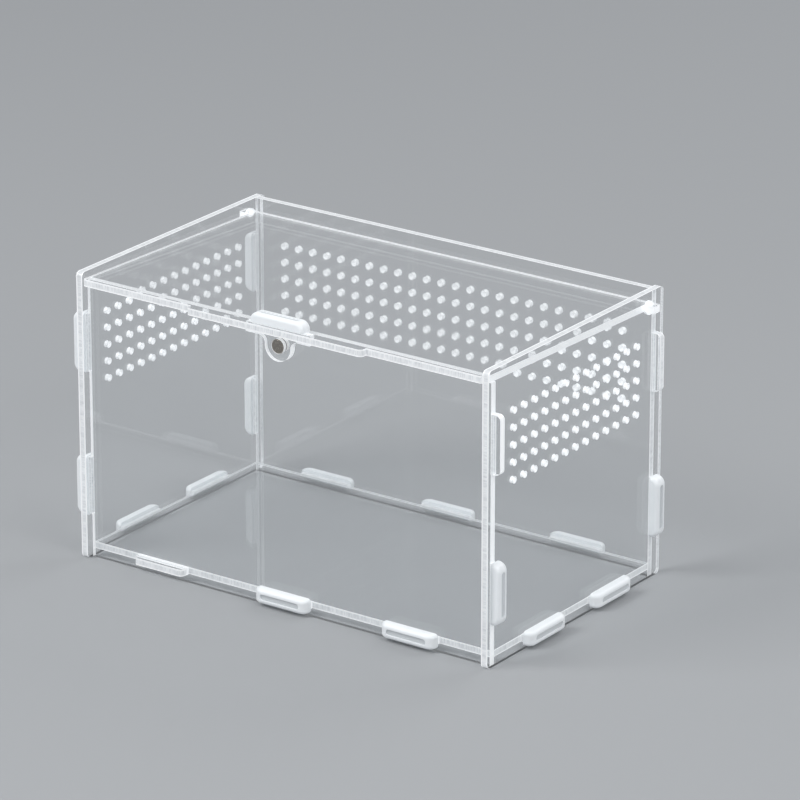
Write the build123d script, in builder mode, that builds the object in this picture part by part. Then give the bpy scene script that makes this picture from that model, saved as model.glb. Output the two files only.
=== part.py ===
"""Clear acrylic reptile enclosure: laser-cut sheet panels joined by tabs, slots and silicone caps.

Millimetres. X runs along the width, Y from front to back and Z up. The origin is the middle of the
footprint, on the surface that the box stands on.
"""

import os
from math import cos, radians

from build123d import *

os.makedirs("parts", exist_ok=True)

# Overall size and sheet
width = 200.0
depth = 122.0
height = 123.0
sheet = 3.0
panel_inset = 3.4
floor_underside = 3.0
wall_corner = 2.0

# Planes that the panels meet
wall_inner_x = width / 2 - sheet
panel_outer_y = depth / 2 - panel_inset
panel_inner_y = panel_outer_y - sheet
panel_middle_y = panel_outer_y - sheet / 2
floor_middle_z = floor_underside + sheet / 2
front_height = 117.2

# Tabs and the slots that they pass through
tab_length = 24.5
tab_protrusion = 3.0
tab_corner = 2.0
tab_reach = sheet + tab_protrusion
slot_clearance = 0.1
slot_length = tab_length + slot_clearance
slot_width = sheet + slot_clearance
side_tab_low_z = height / 4
side_tab_high_z = 3 * height / 4
side_tab_rise = side_tab_high_z - side_tab_low_z
side_tab_middle_z = (side_tab_low_z + side_tab_high_z) / 2
floor_tab_pitch_x = 61.5
floor_tab_pitch_y = 47.0

# Vent holes
vent_radius = 1.2
vent_pitch = 7.2
vent_rows = 5
vent_columns_side = 13
vent_columns_rear = 24
vent_middle_z = 87.8

# Lid and its hinge ears
hinge_y = 51.6
hinge_z = 116.2
hinge_hole_radius = 2.9
lid_tilt = 1.45
lid_half_width = 96.6
lid_reach = 112.6
lid_corner = 1.0
ear_width = 4.8
ear_tip_x = 103.2
ear_corner = 0.6
tongue_length = 85.0
tongue_projection = 3.3
tongue_corner = 2.0

# Latch lug below the lid's tongue, and the two magnets
lug_gap = 0.3
lug_shoulder_length = 31.0
lug_shoulder_height = 2.0
lobe_radius = 6.2
lobe_drop = 6.75
lobe_fillet = 3.0
magnet_radius = 3.0
magnet_fit = 0.05
magnet_edge = 0.3
magnet_z = 112.3

# Silicone caps
cap_length = 25.8
cap_thickness = 6.2
cap_protrusion = 4.0
cap_end_radius = 3.5
cap_edge = 1.5
cap_pocket_fit = 0.05
cap_recess_length = 19.0
cap_recess_width = 2.4
cap_recess_depth = 0.55

# The lid lies on a plane through its hinge axis, slightly higher at the front
lid_plane = Plane(origin=(0, hinge_y, hinge_z), x_dir=(1, 0, 0), z_dir=(0, 0, 1)).rotated((-lid_tilt, 0, 0))
lug_back = (hinge_y + panel_outer_y + lug_gap) / cos(radians(lid_tilt))
lug_plane = Plane(
    origin=lid_plane.from_local_coords(Vector(0, -lug_back, 0)),
    x_dir=lid_plane.x_dir,
    z_dir=-lid_plane.y_dir,
)
lug_middle_y = -lug_back - sheet / 2


def write_part(part, name):
    """Labels a finished piece and writes it to its own file."""
    part.label = name
    export_step(part, f"parts/{name}.step")


# Side walls: full height and depth, vents above the middle, a round hole for the lid's ear
for wall_name, wall_x in (("left_wall", -width / 2), ("right_wall", wall_inner_x)):
    with BuildPart() as wall:
        with BuildSketch(Plane.YZ.offset(wall_x)):
            with Locations((0, height / 2)):
                RectangleRounded(depth, height, wall_corner)
            with Locations((0, side_tab_middle_z)):
                with GridLocations(2 * panel_middle_y, side_tab_rise, 2, 2):
                    Rectangle(slot_width, slot_length, mode=Mode.SUBTRACT)
            with Locations((0, floor_middle_z)):
                with GridLocations(floor_tab_pitch_y, 0, 2, 1):
                    Rectangle(slot_length, slot_width, mode=Mode.SUBTRACT)
            with Locations((0, vent_middle_z)):
                with GridLocations(vent_pitch, vent_pitch, vent_columns_side, vent_rows):
                    Circle(vent_radius, mode=Mode.SUBTRACT)
            with Locations((hinge_y, hinge_z)):
                Circle(hinge_hole_radius, mode=Mode.SUBTRACT)
        extrude(amount=sheet)
    write_part(wall.part, wall_name)

# Front panel: lower than the walls, so that the lid closes over its top edge
with BuildPart() as front_panel:
    with BuildSketch(Plane.XZ.offset(panel_inner_y)):
        with Locations((0, front_height / 2)):
            Rectangle(2 * wall_inner_x, front_height)
        with Locations((0, side_tab_middle_z)):
            with GridLocations(2 * wall_inner_x, side_tab_rise, 2, 2):
                RectangleRounded(2 * tab_reach, tab_length, tab_corner)
        with Locations((0, floor_middle_z)):
            with GridLocations(floor_tab_pitch_x, 0, 3, 1):
                Rectangle(slot_length, slot_width, mode=Mode.SUBTRACT)
        with Locations((0, magnet_z)):
            Circle(magnet_radius + magnet_fit, mode=Mode.SUBTRACT)
    extrude(amount=sheet)
write_part(front_panel.part, "front_panel")

# Rear panel: full height, with the widest field of vents
with BuildPart() as rear_panel:
    with BuildSketch(Plane.XZ.offset(-panel_outer_y)):
        with Locations((0, height / 2)):
            Rectangle(2 * wall_inner_x, height)
        with Locations((0, side_tab_middle_z)):
            with GridLocations(2 * wall_inner_x, side_tab_rise, 2, 2):
                RectangleRounded(2 * tab_reach, tab_length, tab_corner)
        with Locations((0, floor_middle_z)):
            with GridLocations(floor_tab_pitch_x, 0, 3, 1):
                Rectangle(slot_length, slot_width, mode=Mode.SUBTRACT)
        with Locations((0, vent_middle_z)):
            with GridLocations(vent_pitch, vent_pitch, vent_columns_rear, vent_rows):
                Circle(vent_radius, mode=Mode.SUBTRACT)
    extrude(amount=sheet)
write_part(rear_panel.part, "rear_panel")

# Floor: hangs on its tabs, clear of the surface below
with BuildPart() as floor_panel:
    with BuildSketch(Plane.XY.offset(floor_underside)):
        Rectangle(2 * wall_inner_x, 2 * panel_inner_y)
        with GridLocations(2 * wall_inner_x, floor_tab_pitch_y, 2, 2):
            RectangleRounded(2 * tab_reach, tab_length, tab_corner)
        with GridLocations(floor_tab_pitch_x, 2 * panel_inner_y, 3, 2):
            RectangleRounded(tab_length, 2 * tab_reach, tab_corner)
    extrude(amount=sheet)
write_part(floor_panel.part, "floor_panel")

# Lid: an ear on each rear corner turns in the walls' holes, and the tongue carries the latch lug
with BuildPart() as lid_panel:
    with BuildSketch(lid_plane.offset(-sheet / 2)):
        with Locations((0, (ear_width / 2 - lid_reach) / 2)):
            RectangleRounded(2 * lid_half_width, lid_reach + ear_width / 2, lid_corner)
        with GridLocations(2 * lid_half_width, 0, 2, 1):
            RectangleRounded(2 * (ear_tip_x - lid_half_width), ear_width, ear_corner)
        with Locations((0, -lid_reach)):
            RectangleRounded(tongue_length, 2 * tongue_projection, tongue_corner)
        with Locations((0, lug_middle_y)):
            Rectangle(slot_length, slot_width, mode=Mode.SUBTRACT)
    extrude(amount=sheet)
write_part(lid_panel.part, "lid_panel")

# Latch lug: its tab comes up through the lid, and its lobe holds a magnet against the front panel
shoulder_base = -sheet / 2 - lug_shoulder_height
tab_top = sheet / 2 + tab_protrusion
with BuildPart() as latch_lug:
    with BuildSketch(lug_plane):
        with Locations((0, shoulder_base + lug_shoulder_height / 2)):
            Rectangle(lug_shoulder_length, lug_shoulder_height)
        with Locations((0, -lobe_drop)):
            Circle(lobe_radius)
        roots = vertices().filter_by_position(Axis.Y, shoulder_base - 0.01, shoulder_base + 0.01)
        fillet(roots.sort_by(Axis.X)[1:-1], lobe_fillet)
        with Locations((0, (tab_top + shoulder_base) / 2)):
            RectangleRounded(tab_length, tab_top - shoulder_base, tab_corner)
        with Locations((0, -lobe_drop)):
            Circle(magnet_radius + magnet_fit, mode=Mode.SUBTRACT)
    extrude(amount=sheet)
write_part(latch_lug.part, "latch_lug")

# Magnets: one in the lobe and one in the front panel behind it
for magnet_name, magnet_plane, magnet_height in (
    ("lug_magnet", lug_plane, -lobe_drop),
    ("panel_magnet", Plane.XZ.offset(panel_inner_y), magnet_z),
):
    with BuildPart() as magnet:
        with BuildSketch(magnet_plane):
            with Locations((0, magnet_height)):
                Circle(magnet_radius)
        extrude(amount=sheet)
        chamfer(edges().filter_by(GeomType.CIRCLE), magnet_edge)
    write_part(magnet.part, magnet_name)

# Silicone cap: a loaf with round ends, a pocket for the tab and a shallow recess on its outer face
with BuildPart() as cap:
    with BuildSketch(Plane.XZ):
        Rectangle(cap_length, cap_protrusion, align=(Align.CENTER, Align.MIN))
        fillet(vertices().group_by(Axis.Y)[-1], cap_end_radius)
    extrude(amount=cap_thickness / 2, both=True)
    rim = faces().filter_by(Axis.Y).edges() - faces().sort_by(Axis.Z)[0].edges()
    fillet(rim, cap_edge)
    with BuildSketch(Plane.XZ):
        RectangleRounded(
            tab_length + 2 * cap_pocket_fit,
            2 * (tab_protrusion + cap_pocket_fit),
            tab_corner,
        )
    extrude(amount=sheet / 2 + cap_pocket_fit, both=True, mode=Mode.SUBTRACT)
    with BuildSketch(Plane.XY.offset(cap_protrusion)):
        SlotOverall(cap_recess_length, cap_recess_width)
    extrude(amount=-cap_recess_depth, mode=Mode.SUBTRACT)


def upright_place(side, y, z):
    """The base of a cap on a side wall, with its length upright."""
    return Plane(origin=(side * width / 2, y, z), x_dir=(0, 0, 1), z_dir=(side, 0, 0))


def side_floor_place(side, y):
    """The base of a cap on a side wall, over one of the floor's tabs."""
    return Plane(origin=(side * width / 2, y, floor_middle_z), x_dir=(0, 1, 0), z_dir=(side, 0, 0))


def long_floor_place(side, x):
    """The base of a cap on the front or rear panel, over one of the floor's tabs."""
    return Plane(origin=(x, side * panel_outer_y, floor_middle_z), x_dir=(1, 0, 0), z_dir=(0, side, 0))


# Where each cap sits. Three tabs stay bare: the front panel's left floor tab and the two upper
# tabs through the right wall.
cap_places = {
    "cap_left_front_lower": upright_place(-1, -panel_middle_y, side_tab_low_z),
    "cap_left_front_upper": upright_place(-1, -panel_middle_y, side_tab_high_z),
    "cap_left_rear_lower": upright_place(-1, panel_middle_y, side_tab_low_z),
    "cap_left_rear_upper": upright_place(-1, panel_middle_y, side_tab_high_z),
    "cap_right_front_lower": upright_place(1, -panel_middle_y, side_tab_low_z),
    "cap_right_rear_lower": upright_place(1, panel_middle_y, side_tab_low_z),
    "cap_left_floor_front": side_floor_place(-1, -floor_tab_pitch_y / 2),
    "cap_left_floor_rear": side_floor_place(-1, floor_tab_pitch_y / 2),
    "cap_right_floor_front": side_floor_place(1, -floor_tab_pitch_y / 2),
    "cap_right_floor_rear": side_floor_place(1, floor_tab_pitch_y / 2),
    "cap_front_floor_centre": long_floor_place(-1, 0),
    "cap_front_floor_right": long_floor_place(-1, floor_tab_pitch_x),
    "cap_rear_floor_left": long_floor_place(1, -floor_tab_pitch_x),
    "cap_rear_floor_centre": long_floor_place(1, 0),
    "cap_rear_floor_right": long_floor_place(1, floor_tab_pitch_x),
    "lid_cap": Plane(
        origin=lid_plane.from_local_coords(Vector(0, lug_middle_y, sheet / 2)),
        x_dir=lid_plane.x_dir,
        z_dir=lid_plane.z_dir,
    ),
}
for cap_name, cap_place in cap_places.items():
    with BuildPart(cap_place) as placed_cap:
        add(cap.part)
    write_part(placed_cap.part, cap_name)
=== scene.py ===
"""The looks of the acrylic reptile enclosure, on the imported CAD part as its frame.

Every piece keeps its CAD mesh. A sheet's faces are polished clear acrylic, and everything the laser
cut, which is the edges, tabs, slots and vent bores, is frosted white. The caps are milky silicone.
The melted lips round the vents are made here."""

import math

import bpy
from mathutils import Matrix, Vector


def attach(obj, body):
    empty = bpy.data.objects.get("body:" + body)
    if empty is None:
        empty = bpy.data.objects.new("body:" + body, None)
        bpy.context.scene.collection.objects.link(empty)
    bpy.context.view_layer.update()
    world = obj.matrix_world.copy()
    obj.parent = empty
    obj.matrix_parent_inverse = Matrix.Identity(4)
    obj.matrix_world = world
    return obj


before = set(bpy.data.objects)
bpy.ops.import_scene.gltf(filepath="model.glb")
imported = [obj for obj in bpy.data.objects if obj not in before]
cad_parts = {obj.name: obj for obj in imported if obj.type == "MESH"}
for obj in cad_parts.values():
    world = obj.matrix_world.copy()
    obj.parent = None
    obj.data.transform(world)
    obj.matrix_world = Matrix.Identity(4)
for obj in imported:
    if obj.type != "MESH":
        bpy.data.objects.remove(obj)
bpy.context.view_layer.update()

# Sizes in metres, as the CAD model has them
SHEET = 0.003
WALL_OUTER_X = 0.100
PANEL_OUTER_Y = 0.0576
FLOOR_MIDDLE_Z = 0.0045
VENT_PITCH = 0.0072
VENT_RADIUS = 0.0012
VENT_ROWS = 5
SIDE_VENT_COLUMNS = 13
REAR_VENT_COLUMNS = 24
VENT_MIDDLE_Z = 0.0878
LIP_RADIUS = 0.00014
LID_TILT = math.radians(1.45)
HINGE = (0, 0.0516, 0.1162)
HINGE_REACH = 0.0035
CAP_REACH = 0.004
CAP_RECESS = 0.00055
RECESS_MARGIN = 0.0001

# How squarely a surface looks along a sheet's thickness to count as its face, and not as a cut
FACE_SQUARENESS = 0.92
RECESS_SQUARENESS = 0.9

CAMERA_PLACE = (1.21485, -1.68933, 0.85421)
CAMERA_DOWN = math.radians(20.6195)
CAMERA_TURN = math.radians(35.379)
CAMERA_LENS = 249.51

FLOOR_RADIUS = 7
FLOOR_COLOUR = (0.37, 0.38, 0.39, 1)
CAP_COLOUR = (0.90, 0.925, 0.94, 1)
# Painted shade on the floor of a cap's recess
RECESS_PAINTED_SHADE_COLOUR = (0.60, 0.625, 0.64, 1)
ACRYLIC_TINT = (0.99, 0.995, 0.997, 1)
ACRYLIC_IOR = 1.49


class Wire:
    """A number's socket in a finish. Python's operators on it add Math nodes."""

    def __init__(self, finish, socket):
        self.finish = finish
        self.socket = socket

    def math(self, operation, *values):
        inputs = dict(enumerate(values))
        return self.finish.node("ShaderNodeMath", {"operation": operation}, inputs)["Value"]

    def __add__(self, other):
        return self.math("ADD", self, other)

    def __sub__(self, other):
        return self.math("SUBTRACT", self, other)

    def __rsub__(self, other):
        return self.math("SUBTRACT", other, self)

    def __mul__(self, other):
        return self.math("MULTIPLY", self, other)

    def __gt__(self, other):
        return self.math("GREATER_THAN", self, other)

    def __or__(self, other):
        return self.math("MAXIMUM", self, other)

    def __abs__(self):
        return self.math("ABSOLUTE", self)


class Outputs:
    """A node's outputs, each by its name or number."""

    def __init__(self, finish, node):
        self.finish = finish
        self.node = node

    def __getitem__(self, key):
        return Wire(self.finish, self.node.outputs[key])


class Finish:
    """A material and the way its nodes are added."""

    def __init__(self, name):
        self.material = bpy.data.materials.new(name)
        self.material.use_nodes = True
        self.tree = self.material.node_tree
        self.tree.nodes.clear()

    def node(self, kind, settings, values):
        """Adds a node, sets it up, then gives its inputs their values or links."""
        node = self.tree.nodes.new(kind)
        for name, setting in settings.items():
            if name == "stops":
                self.set_stops(node.color_ramp, setting)
            else:
                setattr(node, name, setting)
        for key, value in values.items():
            if isinstance(value, Wire):
                self.tree.links.new(value.socket, node.inputs[key])
            else:
                node.inputs[key].default_value = value
        return Outputs(self, node)

    @staticmethod
    def set_stops(ramp, stops):
        while len(ramp.elements) < len(stops):
            ramp.elements.new(0.5)
        for element, (position, level) in zip(ramp.elements, stops):
            element.position = position
            element.color = (level, level, level, 1)

    def place(self):
        """Object coordinates in metres, which are the part's own frame."""
        return self.node("ShaderNodeTexCoord", {}, {})["Object"]

    def facing(self):
        """Which way the surface faces, in the part's own frame."""
        return self.node("ShaderNodeTexCoord", {}, {})["Normal"]

    def stretched(self, scale):
        """Object coordinates, each axis times its own number."""
        settings = {"vector_type": "POINT"}
        return self.node("ShaderNodeMapping", settings, {"Vector": self.place(), "Scale": scale})["Vector"]

    def along(self, vector, direction):
        """How far the vector goes in that direction."""
        settings = {"operation": "DOT_PRODUCT"}
        return self.node("ShaderNodeVectorMath", settings, {0: vector, 1: direction})["Value"]

    def noise(self, vector, scale, detail):
        settings = {"noise_dimensions": "3D"}
        values = {"Vector": vector, "Scale": scale, "Detail": detail, "Roughness": 0.55}
        return self.node("ShaderNodeTexNoise", settings, values)[0]

    def ramp(self, level, stops):
        return self.node("ShaderNodeValToRGB", {"stops": stops}, {"Fac": level})["Color"]

    def colours(self, share, first, second):
        """A colour from first at share 0 to second at share 1."""
        settings = {"data_type": "RGBA", "blend_type": "MIX"}
        return self.node("ShaderNodeMix", settings, {0: share, 6: first, 7: second})[2]

    def bump(self, height, strength, distance):
        values = {"Height": height, "Strength": strength, "Distance": distance}
        return self.node("ShaderNodeBump", {}, values)["Normal"]

    def mixed(self, share, first, second):
        return self.node("ShaderNodeMixShader", {}, {0: share, 1: first, 2: second})["Shader"]

    def done(self, surface):
        self.node("ShaderNodeOutputMaterial", {}, {"Surface": surface})
        return self.material


def clear_face(finish):
    """Polished sheet: clear, with a faint waviness and a few rubbed patches. Lamps shine through it."""
    rubbed = finish.noise(finish.place(), 38, 5)
    roughness = finish.ramp(rubbed, [(0.45, 0.012), (0.75, 0.045)])
    wavy = finish.bump(finish.noise(finish.place(), 22, 1), 0.05, 0.0006)
    sheet = finish.node(
        "ShaderNodeBsdfPrincipled",
        {},
        {
            "Base Color": ACRYLIC_TINT,
            "Roughness": roughness,
            "IOR": ACRYLIC_IOR,
            "Transmission Weight": 1.0,
            "Normal": wavy,
        },
    )["BSDF"]
    open_air = finish.node("ShaderNodeBsdfTransparent", {}, {"Color": (0.96, 0.965, 0.967, 1)})["BSDF"]
    rays = finish.node("ShaderNodeLightPath", {}, {})
    passes = rays["Is Shadow Ray"] | rays["Is Diffuse Ray"]
    return finish.mixed(passes, sheet, open_air)


def painted_arris_highlight(finish, across, middle):
    """1 at the two sharp borders of a cut edge, falling to 0 between them. It places the painted highlight
    on a cut edge's borders.
    """
    off_middle = abs(abs(finish.along(finish.place(), across)) - middle)
    return finish.ramp(off_middle * (2 / SHEET), [(0.55, 0.0), (0.8, 1.0)])


def inside(finish, zone):
    """1 inside a zone: two bounds, each a direction, the zone's middle along it and its reach."""
    first, second = [
        abs(finish.along(finish.place(), direction) - middle) > reach for direction, middle, reach in zone
    ]
    return 1 - (first | second)


def cut_edge(finish, across, painted_highlight_mask):
    """Laser-cut edge: frosted white, with the fine lines that the beam leaves across the sheet.
    Through its translucent part it lets light in from the sheet. A painted glow, an emission, stands in for
    the rest of the light the sheet carries to its cut, and the borders that the mask picks get a painted
    highlight, whiter and glowing more."""
    fine = [2300 * (1 - 0.93 * abs(part)) for part in across]
    broad = [520 * (1 - 0.6 * abs(part)) for part in across]
    lines = finish.noise(finish.stretched(fine), 1, 2)
    clouds = finish.noise(finish.stretched(broad), 1, 3)
    shade = finish.ramp(lines * 0.55 + clouds * 0.45, [(0.36, 0.0), (0.62, 1.0)])
    frosted = finish.colours(shade, (0.60, 0.615, 0.63, 1), (0.93, 0.94, 0.945, 1))
    # Painted highlight: the cut is painted whiter where the mask is 1
    colour = finish.colours(painted_highlight_mask, frosted, (0.95, 0.955, 0.96, 1))
    # Painted glow: emission standing in for light the sheet carries to its cut, stronger at the painted
    # highlight
    painted_glow = finish.colours(painted_highlight_mask, (0.12, 0.122, 0.125, 1), (0.31, 0.315, 0.32, 1))
    grain = finish.bump(lines, 0.5, 0.00012)
    frost = finish.node(
        "ShaderNodeBsdfPrincipled",
        {},
        {
            "Base Color": colour,
            "Roughness": 0.34,
            "Coat Weight": 0.25,
            "Coat Roughness": 0.12,
            "Emission Color": painted_glow,
            "Emission Strength": 1.0,
            "Normal": grain,
        },
    )["BSDF"]
    glow = finish.node("ShaderNodeBsdfTranslucent", {}, {"Color": (0.95, 0.97, 0.98, 1)})["BSDF"]
    return finish.mixed(0.3, frost, glow)


def acrylic(name, across, middle=0, painted_highlight_zones=()):
    """Clear sheet whose thickness lies along across, with its middle that far from the origin. What
    faces any other way was cut by the laser. The cut's borders get a painted highlight. With no middle
    given, the whole cut gets that painted highlight, as on the lug and on the front panel's top edge,
    and so do the zones given."""
    finish = Finish(name)
    is_face = abs(finish.along(finish.facing(), across)) > FACE_SQUARENESS
    # Painted highlight: the cut's borders and the listed zones are painted whiter and glow more
    painted_highlight_mask = painted_arris_highlight(finish, across, middle)
    for zone in painted_highlight_zones:
        painted_highlight_mask = painted_highlight_mask | inside(finish, zone)
    cut = cut_edge(finish, across, painted_highlight_mask)
    return finish.done(finish.mixed(is_face, cut, clear_face(finish)))


def silicone(name, across, outer):
    """Milky silicone: soft sheen, a fine moulded grain, a little cloudier in places. The recess floor,
    which lies just under the outer face, is painted grey: painted shade in the recess."""
    finish = Finish(name)
    clouds = finish.noise(finish.place(), 160, 3)
    milky = finish.colours(clouds, (0.84, 0.87, 0.89, 1), CAP_COLOUR)
    # The recess floor is found by its depth under the outer face and by its facing; it gets the painted
    # shade
    depth = abs(abs(finish.along(finish.place(), across)) - (outer - CAP_RECESS))
    slanting = RECESS_SQUARENESS - abs(finish.along(finish.facing(), across)) > 0
    outside_painted_shade = (depth > RECESS_MARGIN) | slanting
    colour = finish.colours(outside_painted_shade, RECESS_PAINTED_SHADE_COLOUR, milky)
    grain = finish.noise(finish.place(), 2600, 2)
    roughness = finish.ramp(clouds, [(0.3, 0.34), (0.7, 0.46)])
    body = finish.node(
        "ShaderNodeBsdfPrincipled",
        {"subsurface_method": "RANDOM_WALK"},
        {
            "Base Color": colour,
            "Roughness": roughness,
            "IOR": 1.41,
            "Subsurface Weight": 0.35,
            "Subsurface Radius": (1.0, 1.0, 1.0),
            "Subsurface Scale": 0.0016,
            "Normal": finish.bump(grain, 0.12, 0.00005),
        },
    )["BSDF"]
    return finish.done(body)


def nickel(name):
    """Nickel plating on a disc magnet, with light rubbing."""
    finish = Finish(name)
    patches = finish.noise(finish.place(), 900, 4)
    colour = finish.colours(patches, (0.22, 0.20, 0.17, 1), (0.46, 0.43, 0.39, 1))
    roughness = finish.ramp(patches, [(0.35, 0.16), (0.7, 0.34)])
    plating = finish.node(
        "ShaderNodeBsdfPrincipled",
        {},
        {
            "Base Color": colour,
            "Metallic": 1.0,
            "Roughness": roughness,
            "Normal": finish.bump(finish.noise(finish.place(), 5200, 2), 0.15, 0.00003),
        },
    )["BSDF"]
    return finish.done(plating)


def floor_paint(name):
    """Plain pale grey floor with a barely visible tooth."""
    finish = Finish(name)
    grain = finish.noise(finish.place(), 900, 2)
    dark = [0.985 * part for part in FLOOR_COLOUR[:3]] + [1]
    colour = finish.colours(grain, dark, FLOOR_COLOUR)
    values = {"Base Color": colour, "Roughness": 0.8, "Specular IOR Level": 0.2}
    body = finish.node("ShaderNodeBsdfPrincipled", {}, values)["BSDF"]
    return finish.done(body)


def paint(nodes, material):
    """Gives these CAD nodes the material in each of their slots."""
    for name in nodes:
        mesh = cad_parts[name].data
        for number in range(max(1, len(mesh.materials))):
            if number < len(mesh.materials):
                mesh.materials[number] = material
            else:
                mesh.materials.append(material)


class Recipe:
    """A Geometry Nodes tree with named inputs."""

    def __init__(self, name, inputs):
        self.tree = bpy.data.node_groups.new(name, "GeometryNodeTree")
        self.sockets = {}
        for label, kind in inputs.items():
            socket = self.tree.interface.new_socket(label, in_out="INPUT", socket_type=kind)
            self.sockets[label] = socket.identifier
        self.tree.interface.new_socket("Mesh", in_out="OUTPUT", socket_type="NodeSocketGeometry")
        self.inputs = self.tree.nodes.new("NodeGroupInput").outputs

    def node(self, kind, settings, values):
        node = self.tree.nodes.new(kind)
        for name, setting in settings.items():
            setattr(node, name, setting)
        for key, value in values.items():
            if isinstance(value, bpy.types.NodeSocket):
                self.tree.links.new(value, node.inputs[key])
            else:
                node.inputs[key].default_value = value
        return node.outputs

    def math(self, operation, first, second):
        return self.node("ShaderNodeMath", {"operation": operation}, {0: first, 1: second})[0]

    def done(self, geometry):
        whole = self.node("GeometryNodeRealizeInstances", {}, {"Geometry": geometry})[0]
        values = {"Geometry": whole, "Material": self.inputs["Material"]}
        painted = self.node("GeometryNodeSetMaterial", {}, values)[0]
        end = self.tree.nodes.new("NodeGroupOutput")
        self.tree.links.new(painted, end.inputs[0])

    def make(self, name, values, place):
        """Runs the tree with these values and returns its result as a plain mesh, moved to its place."""
        start = bpy.data.objects.new(name + "_start", bpy.data.meshes.new(name + "_start"))
        bpy.context.scene.collection.objects.link(start)
        modifier = start.modifiers.new(name, "NODES")
        modifier.node_group = self.tree
        for label, value in values.items():
            modifier[self.sockets[label]] = value
        shaped = start.evaluated_get(bpy.context.evaluated_depsgraph_get())
        mesh = bpy.data.meshes.new_from_object(shaped)
        mesh.name = name
        bpy.data.objects.remove(start)
        mesh.transform(place)
        piece = bpy.data.objects.new(name, mesh)
        bpy.context.scene.collection.objects.link(piece)
        return piece


def vent_lip_recipe():
    """Rings on a flat grid, one round each vent: the lip of acrylic that the laser melted."""
    recipe = Recipe(
        "vent_lips",
        {
            "Columns": "NodeSocketInt",
            "Rows": "NodeSocketInt",
            "Pitch": "NodeSocketFloat",
            "Bore Radius": "NodeSocketFloat",
            "Lip Radius": "NodeSocketFloat",
            "Material": "NodeSocketMaterial",
        },
    )
    given = recipe.inputs
    width = recipe.math("MULTIPLY", recipe.math("SUBTRACT", given["Columns"], 1.0), given["Pitch"])
    height = recipe.math("MULTIPLY", recipe.math("SUBTRACT", given["Rows"], 1.0), given["Pitch"])
    grid = recipe.node(
        "GeometryNodeMeshGrid",
        {},
        {"Size X": width, "Size Y": height, "Vertices X": given["Columns"], "Vertices Y": given["Rows"]},
    )[0]
    ring_radius = recipe.math("ADD", given["Bore Radius"], given["Lip Radius"])
    ring = recipe.node("GeometryNodeCurvePrimitiveCircle", {}, {"Resolution": 20, "Radius": ring_radius})[0]
    bead_values = {"Resolution": 5, "Radius": given["Lip Radius"]}
    bead = recipe.node("GeometryNodeCurvePrimitiveCircle", {}, bead_values)[0]
    lip = recipe.node("GeometryNodeCurveToMesh", {}, {"Curve": ring, "Profile Curve": bead})[0]
    lips = recipe.node("GeometryNodeInstanceOnPoints", {}, {"Points": grid, "Instance": lip})[0]
    recipe.done(lips)
    return recipe


across_wall = (1, 0, 0)
across_panel = (0, 1, 0)
across_floor = (0, 0, 1)
across_lid = (0, math.sin(LID_TILT), math.cos(LID_TILT))
across_lug = (0, math.cos(LID_TILT), -math.sin(LID_TILT))
lid_middle = Vector(across_lid).dot(Vector(HINGE))

wall_middle = WALL_OUTER_X - SHEET / 2
panel_middle = PANEL_OUTER_Y - SHEET / 2
# Zones where the cut gets the painted highlight: the vent fields, the hinge, and the lid's ends against the
# walls
vent_rows = (across_floor, VENT_MIDDLE_Z, VENT_PITCH * VENT_ROWS / 2)
side_vents = ((across_panel, 0, VENT_PITCH * SIDE_VENT_COLUMNS / 2), vent_rows)
rear_vents = ((across_wall, 0, VENT_PITCH * REAR_VENT_COLUMNS / 2), vent_rows)
hinge = ((across_panel, HINGE[1], HINGE_REACH), (across_floor, HINGE[2], HINGE_REACH))
lid_level = (across_floor, HINGE[2], 2 * HINGE_REACH)
lid_left = ((across_wall, SHEET - WALL_OUTER_X, SHEET / 4), lid_level)
lid_right = ((across_wall, WALL_OUTER_X - SHEET, SHEET / 4), lid_level)
walls = acrylic("acrylic_wall", across_wall, wall_middle, (side_vents, hinge))
paint(["left_wall", "right_wall"], walls)
paint(["rear_panel"], acrylic("acrylic_rear", across_panel, panel_middle, (rear_vents,)))
# Given no middle, the front panel's whole cut gets the painted highlight
paint(["front_panel"], acrylic("acrylic_front", across_panel))
paint(["floor_panel"], acrylic("acrylic_floor", across_floor, FLOOR_MIDDLE_Z))
paint(["lid_panel"], acrylic("acrylic_lid", across_lid, lid_middle, (hinge, lid_left, lid_right)))
# Given no middle, the lug's whole cut gets the painted highlight
paint(["latch_lug"], acrylic("acrylic_lug", across_lug))
paint(["panel_magnet", "lug_magnet"], nickel("nickel_plating"))
cap_faces = {
    "side": (("cap_left", "cap_right"), across_wall, WALL_OUTER_X + CAP_REACH),
    "panel": (("cap_front", "cap_rear"), across_panel, PANEL_OUTER_Y + CAP_REACH),
    "lid": (("lid_cap",), across_lid, lid_middle + SHEET / 2 + CAP_REACH),
}
for kind, (starts, across, outer) in cap_faces.items():
    caps = [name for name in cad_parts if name.startswith(starts)]
    paint(caps, silicone(f"milky_silicone_{kind}", across, outer))

# The melted lip gets the cut edge's painted glow, with half of its painted highlight
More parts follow.
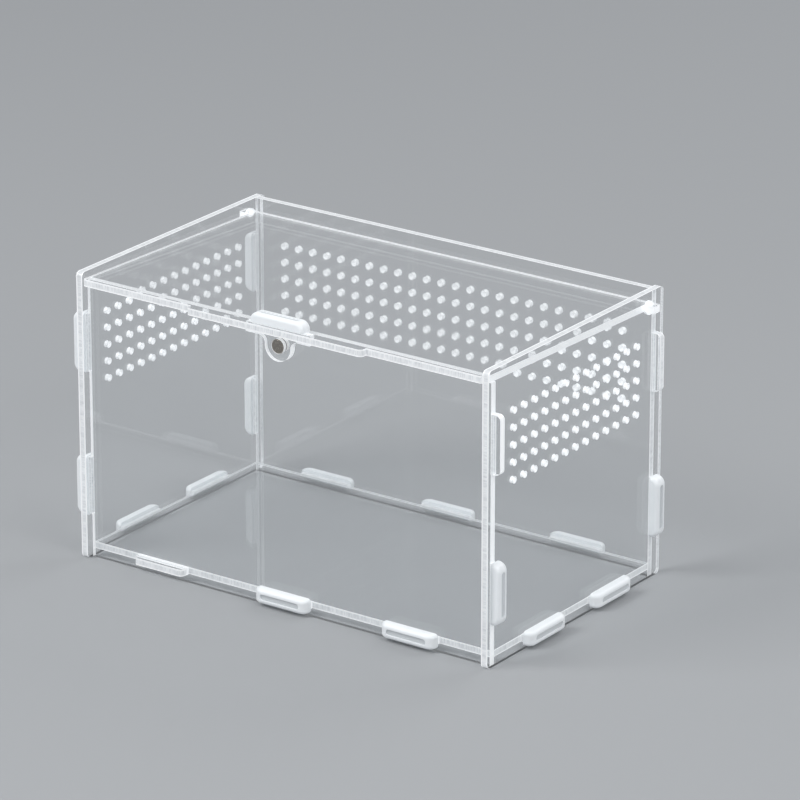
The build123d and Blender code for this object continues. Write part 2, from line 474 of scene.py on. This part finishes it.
lip_finish = Finish("melted_lip")
melted = lip_finish.done(cut_edge(lip_finish, (0, 0, 0), 0.5))
vent_lips = vent_lip_recipe()
vent_values = {
    "Rows": VENT_ROWS,
    "Pitch": VENT_PITCH,
    "Bore Radius": VENT_RADIUS,
    "Lip Radius": LIP_RADIUS,
    "Material": melted,
}
upright = Matrix.Rotation(math.radians(90), 4, "X")
sideways = Matrix.Rotation(math.radians(90), 4, "Z")
for side, sign in (("left", -1), ("right", 1)):
    for face, x in (("outer", WALL_OUTER_X), ("inner", WALL_OUTER_X - SHEET)):
        place = Matrix.Translation((sign * x, 0, VENT_MIDDLE_Z)) @ sideways @ upright
        values = {"Columns": SIDE_VENT_COLUMNS, **vent_values}
        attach(vent_lips.make(f"vent_lips_{side}_{face}", values, place), "enclosure")
for face, y in (("outer", PANEL_OUTER_Y), ("inner", PANEL_OUTER_Y - SHEET)):
    place = Matrix.Translation((0, y, VENT_MIDDLE_Z)) @ upright
    values = {"Columns": REAR_VENT_COLUMNS, **vent_values}
    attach(vent_lips.make(f"vent_lips_rear_{face}", values, place), "enclosure")

# The floor, and the studio's light
bpy.ops.mesh.primitive_circle_add(vertices=96, radius=FLOOR_RADIUS, fill_type="NGON", location=(0, 0, 0))
floor = bpy.context.object
floor.name = "studio_floor"
floor.data.materials.append(floor_paint("floor_paint"))


def softbox(name, place, size, power):
    """A square lamp that looks at the middle of the part."""
    light = bpy.data.lights.new(name, "AREA")
    light.shape = "SQUARE"
    light.size = size
    light.energy = power
    lamp = bpy.data.objects.new(name, light)
    lamp.location = place
    aim = Vector((0, 0, 0.06)) - Vector(place)
    lamp.rotation_euler = aim.to_track_quat("-Z", "Y").to_euler()
    bpy.context.scene.collection.objects.link(lamp)


softbox("softbox_key", (-0.8, -1.2, 1.5), 1.0, 24)
softbox("softbox_fill", (1.6, -0.5, 1.1), 1.2, 15)
softbox("softbox_back", (0.5, 1.6, 1.5), 1.2, 12)

world = bpy.data.worlds.new("studio")
world.use_nodes = True
world_nodes = world.node_tree.nodes
world_nodes["Background"].inputs["Color"].default_value = (0.92, 0.95, 1.0, 1)
world_nodes["Background"].inputs["Strength"].default_value = 0.45
bpy.context.scene.world = world

camera = bpy.data.objects.new("camera", bpy.data.cameras.new("camera"))
camera.location = CAMERA_PLACE
camera.rotation_euler = (math.radians(90) - CAMERA_DOWN, 0, CAMERA_TURN)
camera.data.sensor_width = 36
camera.data.lens = CAMERA_LENS
camera.data.clip_start = 0.05
camera.data.clip_end = 60
bpy.context.scene.collection.objects.link(camera)
bpy.context.scene.camera = camera

bpy.context.scene.view_settings.view_transform = "Standard"
bpy.context.scene.cycles.max_bounces = 24
bpy.context.scene.cycles.transmission_bounces = 20
bpy.context.scene.cycles.transparent_max_bounces = 24
